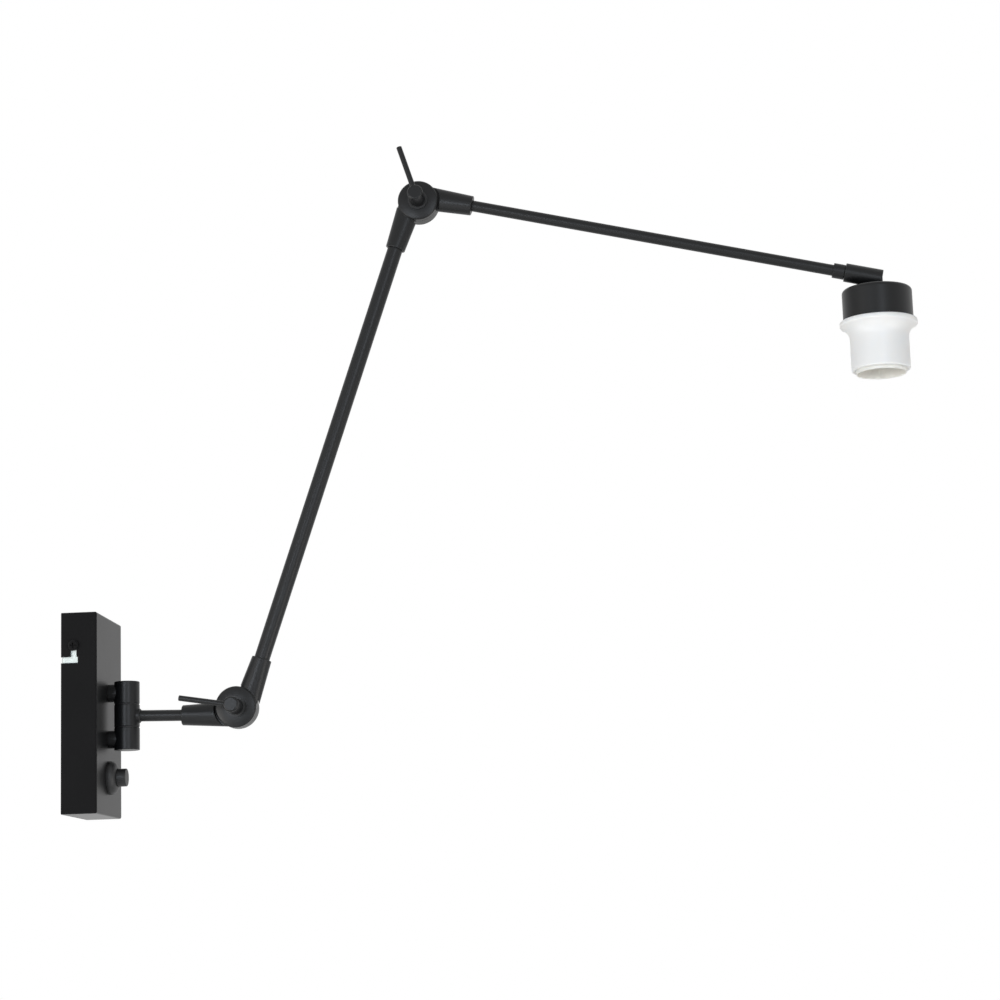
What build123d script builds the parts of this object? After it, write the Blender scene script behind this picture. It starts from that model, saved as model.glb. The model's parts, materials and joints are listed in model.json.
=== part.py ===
from build123d import *

import os
from math import acos, cos, degrees, radians, sin

# Jointed wall lamp. Millimetres, +Z up, +X out of the wall, +Y to the right of someone facing the wall.
# The origin lies on the wall plane, midway between the two wall screws of the hanging bracket.

os.makedirs("parts", exist_ok=True)

# Fits
slip = 0.05  # radial clearance of a fixed or turning fit
rub = 0.1  # axial clearance between faces that turn on each other
air = 0.3  # clearance of pieces that must not touch

# Wall box
box_height = 152.6
box_width = 84.0
box_depth = 27.3
box_wall = 1.2
box_edge_radius = 1.5

# Hanging bracket and its side screws
strap_width = 14.0
strap_thickness = 1.5
strap_bend = 2.0
ear_reach = 16.0
ear_drop = 16.5
hang_drop = 50.9
hang_reach = 9.6
slot_drop = 11.0
slot_clearance = 0.3
slot_overrun = 1.0
side_screw_diameter = 4.0
side_head_diameter = 8.0
side_head_height = 2.2
side_screw_length = 7.5
wall_slot_length = 10.0
wall_slot_width = 4.6

# Terminal block on the strap
pole_pitch = 8.0
terminal_height = 15.0
terminal_corner = 1.5
terminal_depth = 9.0
turret_diameter = 6.4
turret_height = 3.0
insert_size = 4.6
lead_bore = 3.0
clamp_screw_diameter = 3.0
clamp_screw_height = 2.4
fixing_screw_diameter = 3.0
fixing_head_diameter = 4.4
fixing_head_height = 1.8
earth_gap = 0.6
earth_screw_diameter = 4.0
earth_head_diameter = 7.0
earth_head_height = 2.6
earth_washer_diameter = 8.4
earth_washer_thickness = 0.8
driver_slot = 0.8

# Wall hinge
hinge_reach = 13.9
barrel_diameter = 19.5
knuckle_height = 17.1
hinge_washer_thickness = 0.6
hinge_washer_diameter = 18.6
barrel_edge = 0.5
spigot_diameter = 11.0
spigot_length = 4.6
stub_diameter = 13.6
tail_diameter = 10.0
tail_length = 9.0
tail_clearance = 0.2
tail_bore = 6.0
tail_nut_flats = 14.0
tail_nut_height = 5.0
lock_washer_diameter = 17.0
lock_washer_thickness = 1.0
arm_boss_diameter = 11.2
arm_boss_height = 1.2
arm_boss_edge = 0.8

# Push switch
switch_drop = 47.2
switch_body_size = 22.0
switch_body_depth = 13.0
switch_edge_radius = 2.0
bushing_diameter = 12.0
bushing_length = 3.6
bezel_diameter = 25.6
bezel_rim = 1.2
bezel_height = 6.8
bezel_nose_diameter = 15.4
button_diameter = 13.7
button_length = 6.9
button_travel = 3.0
button_stem_diameter = 7.0
button_edge = 0.6
tab_width = 4.0
tab_thickness = 0.8
tab_length = 6.0

# Leads
lead_diameter = 2.6
lead_pitch = 2.9
lead_front = 14.0
lead_bend = 9.0
cable_diameter = 5.2
cable_bend = 8.0

# Arms
short_arm_droop = 1.4
short_arm_reach = 85.8
lower_arm_span = 422.7
lower_arm_angle = 71.0
upper_arm_angle = -13.45
upper_arm_length = 330.7
thin_tube_diameter = 8.7
thick_tube_diameter = 12.0
tube_wall = 1.0

# Elbows
disc_diameter = 31.7
disc_bevel = 0.9
disc_crown = 0.6
disc_seat_diameter = 16.4
elbow_stack = 17.2
front_disc_thickness = 5.4
split_gap = 0.4
front_stem_offset = 6.45
rear_stem_offset = 5.35
front_stem_length = 41.5
rear_stem_length = 42.4
stem_diameter = 15.4
stem_root_inner = 10.5
stem_root_outer = 9.4
stem_root_depth = 13.0
stem_edge = 0.7
scoop_gap = 1.5
tube_from_pivot = 22.7
cable_bore_depth = 4.5
friction_diameter = 24.0
friction_thickness = 1.3
friction_recess = 1.0
bolt_diameter = 6.0
bolt_head_flats = 10.0
bolt_head_height = 4.0
plug_diameter = 14.0
plug_thickness = 1.6
plug_edge = 0.4
thrust_diameter = 15.5
thrust_thickness = 1.0
knob_diameter = 12.2
knob_height = 20.0
knob_edge = 1.6
knob_thread_depth = 9.0
lever_diameter = 4.3
lever_reach = 41.6
lever_root = 2.2
lever_from_top = 8.0
lever_edge = 0.3
shoulder_lever_angle = 170.6
elbow_lever_angle = 107.4

# End swivel
collar_diameter = 11.7
collar_length = 9.2
collar_socket = 6.0
collar_edge = 0.3
nipple_diameter = 8.0
nipple_bore = 4.5
nipple_engagement = 10.0
nipple_root = 12.0
groove_place = 5.0
groove_width = 2.4
groove_depth = 0.7
grub_diameter = 3.0
grub_dog_diameter = 1.9
swivel_diameter = 14.6
swivel_length = 29.1
swivel_edge = 0.6
fork_depth = 17.6
fork_gap = 5.2
fork_roof = 5.6
pin_from_end = 4.7
pin_diameter = 3.5
pin_cover = 1.8

# Lamp head
tongue_thickness = 5.0
tongue_width = 10.0
tongue_drop = 9.2
tongue_flange_diameter = 14.0
tongue_flange_thickness = 0.4
stud_diameter = 10.0
stud_length = 20.0
stud_bore = 6.0
head_nut_flats = 14.0
head_nut_height = 5.0
cap_diameter = 54.1
cap_height = 25.4
cap_wall = 1.2
cap_edge = 3.0
shell_flange_diameter = 60.0
shell_body_diameter = 45.6
shell_height = 39.2
shell_rim_height = 3.0
shell_rim_edge = 1.2
shell_flare_radius = 10.5
shell_mouth_edge = 1.2
shell_collar_height = 5.0
shell_collar_wall = 1.8
shell_flange_thickness = 2.4
holder_diameter = 39.0
holder_wall = 1.0
holder_drop = 2.6
holder_skirt_depth = 12.0
holder_seat_diameter = 30.0
holder_roof_height = 4.0
holder_roof = 3.0
holder_neck_diameter = 17.0
holder_neck_height = 12.0
holder_edge = 0.4
rib_width = 1.2
rib_height = 0.5
carrier_thickness = 5.0
shell_thread_diameter = 27.0
shell_thread_depth = 0.8
shell_thread_wall = 0.5
shell_thread_pitch = 3.6
shell_thread_turns = 4
shell_neck_height = 6.0
contact_width = 6.0
contact_thickness = 0.8
contact_reach = 9.0
contact_lift = 4.0
rivet_diameter = 3.0

# Frames worked out from the sizes above
box_z = -hang_drop
hinge_x = box_depth + hinge_reach
hinge_gap = hinge_washer_thickness + rub
knuckle_pitch = knuckle_height + hinge_gap
upper_z = box_z + knuckle_pitch
lower_z = box_z - knuckle_pitch
switch_z = box_z - switch_drop
front_inside = box_depth - box_wall
strap_front = Plane.YZ.offset(strap_thickness)
box_back = Plane((0, 0, box_z), x_dir=(0, 1, 0), z_dir=(1, 0, 0))

short_dir = Vector(cos(radians(short_arm_droop)), 0, -sin(radians(short_arm_droop)))
short_up = Vector(-short_dir.Z, 0, short_dir.X)
lower_dir = Vector(cos(radians(lower_arm_angle)), 0, sin(radians(lower_arm_angle)))
lower_left = Vector(-lower_dir.Z, 0, lower_dir.X)
upper_dir = Vector(cos(radians(upper_arm_angle)), 0, sin(radians(upper_arm_angle)))
towards_viewer = Vector(0, -1, 0)
away_from_viewer = Vector(0, 1, 0)

hinge_centre = Vector(hinge_x, 0, box_z)
shoulder_pivot = hinge_centre + short_dir * short_arm_reach + short_up * rear_stem_offset
elbow_pivot = shoulder_pivot + lower_dir * lower_arm_span - lower_left * (2 * front_stem_offset)

# Each elbow half has its pivot at the origin, its tube along x and its own disc on the +z side
shoulder_rear = Plane(shoulder_pivot, x_dir=short_dir * -1, z_dir=away_from_viewer)
shoulder_front = Plane(shoulder_pivot, x_dir=lower_dir, z_dir=towards_viewer)
elbow_front = Plane(elbow_pivot, x_dir=lower_dir * -1, z_dir=towards_viewer)
elbow_rear = Plane(elbow_pivot, x_dir=upper_dir, z_dir=away_from_viewer)

rear_disc_thickness = elbow_stack - split_gap - front_disc_thickness


def save(piece, name):
    """Labels a finished piece and writes it as one node."""
    piece.part.label = name
    export_step(piece.part, f"parts/{name}.step")


def beside(seat):
    """The plane through a seat's axis: x is the radius, y is the height above the seat."""
    return Plane(seat.origin, x_dir=seat.x_dir, z_dir=seat.y_dir * -1)


def axis_of(seat):
    """The line through a seat's origin, square to it."""
    return Axis(seat.origin, seat.z_dir)


def along_stem(half, offset, distance):
    """The cross-section plane of an elbow half's stem at a distance from the pivot."""
    centre = half.from_local_coords(Vector(distance, -offset, 0))
    return Plane(centre, x_dir=half.y_dir, z_dir=half.x_dir)


def add_rod(seat, diameter, length, mode=Mode.ADD):
    """A round bar that stands on a seat, added to or taken from the piece being made."""
    with BuildSketch(seat) as profile:
        Circle(diameter / 2)
    extrude(profile.sketch, amount=length, mode=mode)


def add_ring(seat, outer, inner, length):
    """A round tube or washer that stands on a seat."""
    with BuildSketch(seat) as profile:
        Circle(outer / 2)
        Circle(inner / 2, mode=Mode.SUBTRACT)
    extrude(profile.sketch, amount=length)


def add_hex(seat, flats, length, mode=Mode.ADD):
    """A hexagon bar that stands on a seat, measured across its flats."""
    with BuildSketch(seat) as profile:
        RegularPolygon(flats / 2, 6, major_radius=False)
    extrude(profile.sketch, amount=length, mode=mode)


def add_cross_screw(seat, shank, length, head, height):
    """A pan-head screw with a cross recess, its head on the seat and its shank below."""
    with BuildSketch(beside(seat)) as profile:
        with BuildLine():
            Line((0, -length), (shank / 2, -length))
            Line((shank / 2, -length), (shank / 2, 0))
            Line((shank / 2, 0), (head / 2, 0))
            Line((head / 2, 0), (head / 2, height / 3))
            head_round = CenterArc((head / 2 - height * 2 / 3, height / 3), height * 2 / 3, 0, 90)
            Line(head_round @ 1, (0, height))
            Line((0, height), (0, -length))
        make_face()
    revolve(profile.sketch, axis=axis_of(seat))
    with BuildSketch(seat.offset(height)) as recess:
        Rectangle(head * 0.6, driver_slot)
        Rectangle(driver_slot, head * 0.6)
    extrude(recess.sketch, amount=-height / 2, mode=Mode.SUBTRACT)


def add_slot_screw(seat, shank, length, head, height):
    """A cheese-head screw with a straight slot, its head on the seat and its shank below."""
    add_rod(seat, head, height)
    add_rod(seat, shank, -length)
    with BuildSketch(seat.offset(height)) as slot:
        Rectangle(head, driver_slot)
    extrude(slot.sketch, amount=-height / 2, mode=Mode.SUBTRACT)


def add_lead(points, bend, diameter):
    """A round lead through points in one plane, with its corners turned to one bend radius."""
    with BuildLine() as route:
        FilletPolyline(*points, radius=bend)
    with BuildSketch(Plane(route.line @ 0, z_dir=route.line % 0)) as profile:
        Circle(diameter / 2)
    sweep(profile.sketch, path=route.line)


# Wall bracket: a steel strap with its two ends turned forward as ears
ear_face = box_width / 2 - box_wall - air
earth_place = ear_face - strap_thickness - earth_gap - earth_washer_diameter / 2
terminal_side = pole_pitch + turret_diameter / 2
wall_slot_place = (terminal_side + earth_place - earth_washer_diameter / 2) / 2
top_middle = (Align.CENTER, Align.MAX)
with BuildPart() as wall_bracket:
    with BuildSketch(Plane.XY.offset(-ear_drop)):
        with Locations((ear_reach / 2, 0)):
            Rectangle(ear_reach, 2 * ear_face)
        with Locations((strap_thickness + ear_reach / 2, 0)):
            Rectangle(ear_reach, 2 * (ear_face - strap_thickness), mode=Mode.SUBTRACT)
    extrude(amount=ear_drop + strap_width / 2)
    bends = wall_bracket.edges().filter_by(Axis.Z).group_by(Axis.X)[0]
    fillet(bends, strap_bend)
    with BuildSketch(Plane.YZ):
        with Locations((0, -strap_width / 2)):
            Rectangle(2 * (ear_face - strap_thickness - strap_bend), ear_drop, align=top_middle)
    extrude(amount=strap_thickness, mode=Mode.SUBTRACT)
    with BuildSketch(Plane.YZ):
        with Locations((-wall_slot_place, 0), (wall_slot_place, 0)):
            SlotOverall(wall_slot_length, wall_slot_width)
        with Locations((pole_pitch / 2, 0)):
            Circle(fixing_screw_diameter / 2 + slip)
        with Locations((earth_place, 0)):
            Circle(earth_screw_diameter / 2 + slip)
    extrude(amount=strap_thickness, mode=Mode.SUBTRACT)
    with BuildSketch(Plane.XZ):
        with Locations((hang_reach, 0)):
            Circle(side_screw_diameter / 2 + slip)
    extrude(amount=box_width, both=True, mode=Mode.SUBTRACT)
save(wall_bracket, "wall_bracket")

# Wall box: a cover open at the wall, with an L slot in each side that hooks over the side screws
slot_width = side_screw_diameter + 2 * slot_clearance
with BuildPart() as wall_box:
    with BuildSketch(box_back):
        Rectangle(box_width, box_height)
    extrude(amount=box_depth)
    fillet(wall_box.edges().filter_by(Axis.X), box_edge_radius)
    fillet(wall_box.faces().sort_by(Axis.X)[-1].edges(), box_edge_radius)
    with BuildSketch(box_back):
        Rectangle(box_width - 2 * box_wall, box_height - 2 * box_wall)
    extrude(amount=front_inside, mode=Mode.SUBTRACT)
    with BuildSketch(Plane.XZ):
        with Locations(((hang_reach + slot_overrun) / 2, -slot_drop)):
            Rectangle(hang_reach + slot_overrun + slot_width, slot_width)
        with Locations((hang_reach, -slot_drop / 2)):
            Rectangle(slot_width, slot_drop)
        with Locations((hang_reach, 0)):
            Circle(slot_width / 2)
    extrude(amount=box_width, both=True, mode=Mode.SUBTRACT)
    with BuildSketch(box_back.offset(front_inside)):
        with Locations((0, knuckle_pitch), (0, -knuckle_pitch)):
            Circle(tail_diameter / 2 + tail_clearance)
        with Locations((0, -switch_drop)):
            Circle(bushing_diameter / 2 + slip)
    extrude(amount=box_wall, mode=Mode.SUBTRACT)
save(wall_box, "wall_box")

# Side screws: they clamp the box to the ears of the bracket
with BuildPart() as side_screws:
    for side in (-1, 1):
        seat = Plane((hang_reach, side * box_width / 2, 0), z_dir=(0, side, 0))
        add_cross_screw(seat, side_screw_diameter, side_screw_length, side_head_diameter, side_head_height)
save(side_screws, "side_screws")

# Terminal block: three poles on the strap, with a brass insert and two clamp screws for each
pole_places = (-pole_pitch, 0, pole_pitch)
insert_reach = strap_thickness + terminal_depth / 2
terminal_bottom = -terminal_height / 2
turret_rise = terminal_height / 4
with BuildPart() as terminal_block:
    with BuildSketch(strap_front):
        RectangleRounded(2 * pole_pitch + turret_diameter, terminal_height, terminal_corner)
    extrude(amount=terminal_depth)
    with BuildSketch(strap_front.offset(terminal_depth)):
        for pole in pole_places:
            with Locations((pole, -turret_rise), (pole, turret_rise)):
                Circle(turret_diameter / 2)
    extrude(amount=turret_height)
    with BuildSketch(Plane.XY.offset(terminal_bottom)):
        for pole in pole_places:
            with Locations((insert_reach, pole)):
                Rectangle(insert_size + 2 * slip, insert_size + 2 * slip)
    extrude(amount=terminal_height, mode=Mode.SUBTRACT)
    with BuildSketch(strap_front.offset(terminal_depth + turret_height)):
        for pole in pole_places:
            with Locations((pole, -turret_rise), (pole, turret_rise)):
                Circle(clamp_screw_diameter / 2 + 2 * slip)
    extrude(amount=-(turret_height + terminal_depth / 2), mode=Mode.SUBTRACT)
    with BuildSketch(strap_front):
        with Locations((pole_pitch / 2, 0)):
            Circle(fixing_screw_diameter / 2 + slip)
    extrude(amount=terminal_depth, mode=Mode.SUBTRACT)
save(terminal_block, "terminal_block")

with BuildPart() as terminal_inserts:
    with BuildSketch(Plane.XY.offset(terminal_bottom)):
        for pole in pole_places:
            with Locations((insert_reach, pole)):
                Rectangle(insert_size, insert_size)
                Circle(lead_bore / 2, mode=Mode.SUBTRACT)
    extrude(amount=terminal_height)
save(terminal_inserts, "terminal_inserts")

clamp_seat = insert_reach + insert_size / 2
with BuildPart() as terminal_screws:
    for pole in pole_places:
        for rise in (-turret_rise, turret_rise):
            seat = Plane((clamp_seat, pole, rise), z_dir=(1, 0, 0))
            add_rod(seat, clamp_screw_diameter, clamp_screw_height)
            with BuildSketch(seat.offset(clamp_screw_height)):
                Rectangle(clamp_screw_diameter, driver_slot)
            extrude(amount=-clamp_screw_height / 3, mode=Mode.SUBTRACT)
save(terminal_screws, "terminal_screws")

with BuildPart() as terminal_fixing_screw:
    seat = Plane((strap_thickness + terminal_depth, pole_pitch / 2, 0), z_dir=(1, 0, 0))
    fixing_length = strap_thickness + terminal_depth
    add_slot_screw(seat, fixing_screw_diameter, fixing_length, fixing_head_diameter, fixing_head_height)
save(terminal_fixing_screw, "terminal_fixing_screw")

# Earth screw and its cup washer on the strap
earth_seat = Plane((strap_thickness, earth_place, 0), z_dir=(1, 0, 0))
with BuildPart() as earth_washer:
    add_ring(earth_seat, earth_washer_diameter, earth_screw_diameter + 2 * slip, earth_washer_thickness)
save(earth_washer, "earth_washer")

with BuildPart() as earth_screw:
    seat = earth_seat.offset(earth_washer_thickness)
    earth_length = strap_thickness + earth_washer_thickness
    add_slot_screw(seat, earth_screw_diameter, earth_length, earth_head_diameter, earth_head_height)
save(earth_screw, "earth_screw")


def make_outer_knuckle(side, hollow):
    """An outer knuckle of the wall hinge with its stub, threaded tail and bearing spigot."""
    middle = box_z + side * knuckle_pitch
    inner_face = Plane((hinge_x, 0, middle - side * knuckle_height / 2), z_dir=(0, 0, side))
    tail_end = Plane((front_inside - tail_length, 0, middle), z_dir=(1, 0, 0))
    with BuildPart() as knuckle:
        add_rod(inner_face, barrel_diameter, knuckle_height)
        rims = knuckle.edges().filter_by(GeomType.CIRCLE)
        fillet(rims, barrel_edge)
        add_rod(tail_end.offset(tail_length + box_wall), stub_diameter, hinge_reach)
        add_rod(tail_end, tail_diameter, tail_length + box_wall)
        add_rod(inner_face, spigot_diameter, -spigot_length)
        if hollow:
            add_rod(tail_end, tail_bore, tail_length + box_wall + hinge_reach, Mode.SUBTRACT)
            spigot_end = inner_face.offset(-spigot_length)
            add_rod(spigot_end, tail_bore, spigot_length + knuckle_height / 2, Mode.SUBTRACT)
    return knuckle


# Wall hinge: two fixed knuckles with a centre knuckle that turns on their spigots
upper_knuckle = make_outer_knuckle(1, hollow=False)
save(upper_knuckle, "upper_knuckle")
lower_knuckle = make_outer_knuckle(-1, hollow=True)
save(lower_knuckle, "lower_knuckle")

with BuildPart() as hinge_washers:
    for side in (-1, 1):
        seat = Plane((hinge_x, 0, box_z + side * (knuckle_height / 2 + rub)), z_dir=(0, 0, side))
        add_ring(seat, hinge_washer_diameter, spigot_diameter + 2 * slip, hinge_washer_thickness)
save(hinge_washers, "hinge_washers")

with BuildPart() as lock_washers:
    for height in (lower_z, upper_z):
        seat = Plane((front_inside, 0, height), z_dir=(-1, 0, 0))
        add_ring(seat, lock_washer_diameter, tail_diameter + 2 * tail_clearance, lock_washer_thickness)
save(lock_washers, "lock_washers")

with BuildPart() as hinge_nuts:
    for height in (lower_z, upper_z):
        seat = Plane((front_inside - lock_washer_thickness, 0, height), z_dir=(-1, 0, 0))
        add_hex(seat, tail_nut_flats, tail_nut_height)
        add_rod(seat, tail_diameter + 2 * slip, tail_nut_height, Mode.SUBTRACT)
save(hinge_nuts, "hinge_nuts")

arm_root = Plane(hinge_centre, z_dir=short_dir)
knuckle_foot = Plane((hinge_x, 0, box_z - knuckle_height / 2))
tube_start = spigot_diameter / 2 + slip + air
with BuildPart() as centre_knuckle:
    add_rod(knuckle_foot, barrel_diameter, knuckle_height)
    fillet(centre_knuckle.edges().filter_by(GeomType.CIRCLE), barrel_edge)
    add_rod(arm_root, arm_boss_diameter, barrel_diameter / 2 + arm_boss_height)
    boss_rim = centre_knuckle.faces().sort_by(Axis.X)[-1].edges()
    chamfer(boss_rim, arm_boss_edge)
    add_rod(knuckle_foot, spigot_diameter + 2 * slip, knuckle_height, Mode.SUBTRACT)
    add_rod(arm_root, thin_tube_diameter + 2 * slip, barrel_diameter, Mode.SUBTRACT)
save(centre_knuckle, "centre_knuckle")

# Push switch: the bezel screws onto the bushing that comes through the box front
switch_seat = Plane((front_inside, 0, switch_z), z_dir=(1, 0, 0))
bushing_end = box_wall + bushing_length
button_bore = button_diameter / 2 + air
button_rest = bushing_end + button_travel + air
bezel_top = box_wall + bezel_height
with BuildPart() as switch_body:
    with BuildSketch(switch_seat):
        RectangleRounded(switch_body_size, switch_body_size, switch_edge_radius)
    extrude(amount=-switch_body_depth)
    add_rod(switch_seat, bushing_diameter, bushing_end)
    stem_room = button_travel + 2 * air
    stem_depth = bushing_end + switch_body_depth / 2 + stem_room
    add_rod(switch_seat.offset(bushing_end), button_stem_diameter + 2 * air, -stem_depth, Mode.SUBTRACT)
save(switch_body, "switch_body")

with BuildPart() as switch_bezel:
    with BuildSketch(beside(switch_seat)):
        with BuildLine():
            Line((bushing_diameter / 2 + slip, box_wall), (bezel_diameter / 2, box_wall))
            Line((bezel_diameter / 2, box_wall), (bezel_diameter / 2, box_wall + bezel_rim))
            TangentArc(
                (bezel_diameter / 2, box_wall + bezel_rim),
                (bezel_nose_diameter / 2, bezel_top),
                tangent=(0, 1),
            )
            Line((bezel_nose_diameter / 2, bezel_top), (button_bore, bezel_top))
            Line((button_bore, bezel_top), (button_bore, bushing_end))
            Line((button_bore, bushing_end), (bushing_diameter / 2 + slip, bushing_end))
            Line((bushing_diameter / 2 + slip, bushing_end), (bushing_diameter / 2 + slip, box_wall))
        make_face()
    revolve(axis=axis_of(switch_seat))
save(switch_bezel, "switch_bezel")

with BuildPart() as switch_button:
    add_rod(switch_seat.offset(button_rest), button_diameter, button_length)
    fillet(switch_button.faces().sort_by(Axis.X)[-1].edges(), button_edge)
    add_rod(switch_seat.offset(button_rest), button_stem_diameter, -button_rest - switch_body_depth / 2)
save(switch_button, "switch_button")

tab_foot = Plane.XY.offset(switch_z + switch_body_size / 2)
with BuildPart() as switch_tabs:
    with BuildSketch(tab_foot):
        with Locations((lead_front, -pole_pitch), (lead_front, pole_pitch)):
            Rectangle(tab_thickness, tab_width)
    extrude(amount=tab_length)
save(switch_tabs, "switch_tabs")

# Leads in the box: two switch leads, and the arm cable that goes out through the lower stub
with BuildPart() as switch_leads:
    tab_top = switch_z + switch_body_size / 2 + tab_length
    for pole in (-pole_pitch, pole_pitch):
        route_points = (
            (insert_reach, pole, terminal_bottom + turret_rise),
            (insert_reach, pole, box_z + lead_bend),
            (lead_front, pole, box_z - lead_bend),
            (lead_front, pole, tab_top),
        )
        add_lead(route_points, lead_bend, lead_diameter)
save(switch_leads, "switch_leads")

with BuildPart() as arm_cable_in_box:
    cable_points = (
        (insert_reach, 0, terminal_bottom - air),
        (insert_reach, 0, lower_z),
        (hinge_x - tail_bore, 0, lower_z),
    )
    add_lead(cable_points, cable_bend, cable_diameter)
    add_rod(Plane((insert_reach, 0, terminal_bottom - air)), lead_diameter, turret_rise)
save(arm_cable_in_box, "arm_cable_in_box")


def make_elbow_half(half, disc_thickness, tube_diameter, offset, stem_length, rear):
    """An elbow casting: a crowned disc, and a tapered stem scooped out round the other half's disc."""
    face = elbow_stack / 2
    inner = face - disc_thickness
    rim_top = disc_thickness - disc_crown
    root_width = stem_root_inner + stem_root_outer
    root_shift = (stem_root_inner - stem_root_outer) / 2
    stem_end = along_stem(half, offset, stem_length)
    with BuildPart() as stem:
        with BuildSketch(along_stem(half, offset, 0)):
            with Locations((root_shift, 0)):
                Ellipse(root_width / 2, stem_root_depth / 2)
        with BuildSketch(stem_end):
            Circle(stem_diameter / 2)
        loft()
        fillet(stem.faces().sort_by(Axis(half.origin, half.x_dir))[-1].edges(), stem_edge)
        add_rod(half.offset(inner), disc_diameter + 2 * scoop_gap, -elbow_stack, Mode.SUBTRACT)
    with BuildPart() as casting:
        with BuildSketch(beside(half.offset(inner))) as disc:
            with BuildLine():
                Polyline(
                    (disc_seat_diameter / 2, disc_thickness),
                    (0, disc_thickness),
                    (0, 0),
                    (disc_diameter / 2, 0),
                    (disc_diameter / 2, rim_top - disc_bevel),
                    (disc_diameter / 2 - disc_bevel, rim_top),
                )
                TangentArc(
                    (disc_seat_diameter / 2, disc_thickness),
                    (disc_diameter / 2 - disc_bevel, rim_top),
                    tangent=(1, 0),
                )
            make_face()
        revolve(disc.sketch, axis=axis_of(half))
        add(stem.part)
        add_rod(half.offset(inner), bolt_diameter + 2 * rub, disc_thickness, Mode.SUBTRACT)
        tube_seat = along_stem(half, offset, tube_from_pivot)
        add_rod(tube_seat, tube_diameter + 2 * slip, stem_length, Mode.SUBTRACT)
        add_rod(tube_seat, cable_diameter + 2 * rub, -cable_bore_depth, Mode.SUBTRACT)
        if rear:
            add_rod(half.offset(inner), friction_diameter + 2 * air, friction_recess, Mode.SUBTRACT)
            add_rod(half.offset(face), plug_diameter + 2 * slip, -plug_thickness, Mode.SUBTRACT)
            head_seat = half.offset(face - plug_thickness)
            add_hex(head_seat, bolt_head_flats + 2 * slip, -bolt_head_height, Mode.SUBTRACT)
    return casting


def make_clamp(name, half, lever_angle):
    """The pieces that clamp an elbow: bolt, friction washer, plug, thrust washer, knob and lever."""
    front = Plane(half.origin, x_dir=half.x_dir, z_dir=towards_viewer)
    face = elbow_stack / 2
    inner = face - rear_disc_thickness
    head_floor = face - plug_thickness - bolt_head_height
    knob_foot = face + thrust_thickness + 2 * rub
    with BuildPart() as clamp_bolt:
        add_hex(half.offset(head_floor), bolt_head_flats, bolt_head_height)
        add_rod(half.offset(head_floor), bolt_diameter, -(head_floor + knob_foot + knob_thread_depth))
    save(clamp_bolt, f"{name}_bolt")
    with BuildPart() as friction_washer:
        seat = half.offset(inner + friction_recess)
        add_ring(seat, friction_diameter, bolt_diameter + 2 * rub, -friction_thickness)
    save(friction_washer, f"{name}_friction_washer")
    with BuildPart() as rear_plug:
        add_rod(half.offset(face - plug_thickness), plug_diameter, plug_thickness)
        chamfer(rear_plug.faces().sort_by(axis_of(half))[-1].edges(), plug_edge)
    save(rear_plug, f"{name}_rear_plug")
    with BuildPart() as thrust_washer:
        add_ring(front.offset(face + rub), thrust_diameter, bolt_diameter + 2 * slip, thrust_thickness)
    save(thrust_washer, f"{name}_thrust_washer")
    lever_height = knob_foot + knob_height - lever_from_top
    lever_dir = Vector(cos(radians(lever_angle)), 0, sin(radians(lever_angle)))
    lever_seat = Plane(front.offset(lever_height).origin + lever_dir * lever_root, z_dir=lever_dir)
    with BuildPart() as knob:
        add_rod(front.offset(knob_foot), knob_diameter, knob_height)
        fillet(knob.faces().sort_by(axis_of(front))[-1].edges(), knob_edge)
        add_rod(front.offset(knob_foot), bolt_diameter + 2 * slip, knob_thread_depth + rub, Mode.SUBTRACT)
        add_rod(lever_seat, lever_diameter + 2 * slip, knob_diameter, Mode.SUBTRACT)
    save(knob, f"{name}_knob")
    with BuildPart() as lever:
        add_rod(lever_seat, lever_diameter, lever_reach - lever_root)
        chamfer(lever.faces().sort_by(axis_of(lever_seat))[-1].edges(), lever_edge)
    save(lever, f"{name}_lever")


# Shoulder: the short arm carries the rear half, the lower arm the front half
shoulder_rear_half = make_elbow_half(
    shoulder_rear,
    rear_disc_thickness,
    thin_tube_diameter,
    rear_stem_offset,
    rear_stem_length,
    rear=True,
)
save(shoulder_rear_half, "shoulder_rear_half")
shoulder_front_half = make_elbow_half(
    shoulder_front,
    front_disc_thickness,
    thick_tube_diameter,
    front_stem_offset,
    front_stem_length,
    rear=False,
)
save(shoulder_front_half, "shoulder_front_half")
make_clamp("shoulder", shoulder_rear, shoulder_lever_angle)

# Elbow: the lower arm carries the front half, the upper arm the rear half
elbow_front_half = make_elbow_half(
    elbow_front,
    front_disc_thickness,
    thick_tube_diameter,
    front_stem_offset,
    front_stem_length,
    rear=False,
)
save(elbow_front_half, "elbow_front_half")
elbow_rear_half = make_elbow_half(
    elbow_rear,
    rear_disc_thickness,
    thin_tube_diameter,
    rear_stem_offset,
    rear_stem_length,
    rear=True,
)
save(elbow_rear_half, "elbow_rear_half")
make_clamp("elbow", elbow_rear, elbow_lever_angle)

# Arm tubes and the cable stretch inside each
thin_bore = thin_tube_diameter - 2 * tube_wall
thick_bore = thick_tube_diameter - 2 * tube_wall
cable_end = tube_from_pivot - cable_bore_depth + air

short_length = short_arm_reach - tube_start - tube_from_pivot
with BuildPart() as short_arm_tube:
    add_ring(arm_root.offset(tube_start), thin_tube_diameter, thin_bore, short_length)
save(short_arm_tube, "short_arm_tube")

with BuildPart() as short_arm_cable:
    add_rod(arm_root.offset(tube_start), cable_diameter, short_arm_reach - tube_start - cable_end)
save(short_arm_cable, "short_arm_cable")

lower_length = lower_arm_span - 2 * tube_from_pivot
lower_seat = along_stem(shoulder_front, front_stem_offset, tube_from_pivot)
with BuildPart() as lower_arm_tube:
    add_ring(lower_seat, thick_tube_diameter, thick_bore, lower_length)
save(lower_arm_tube, "lower_arm_tube")

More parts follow.
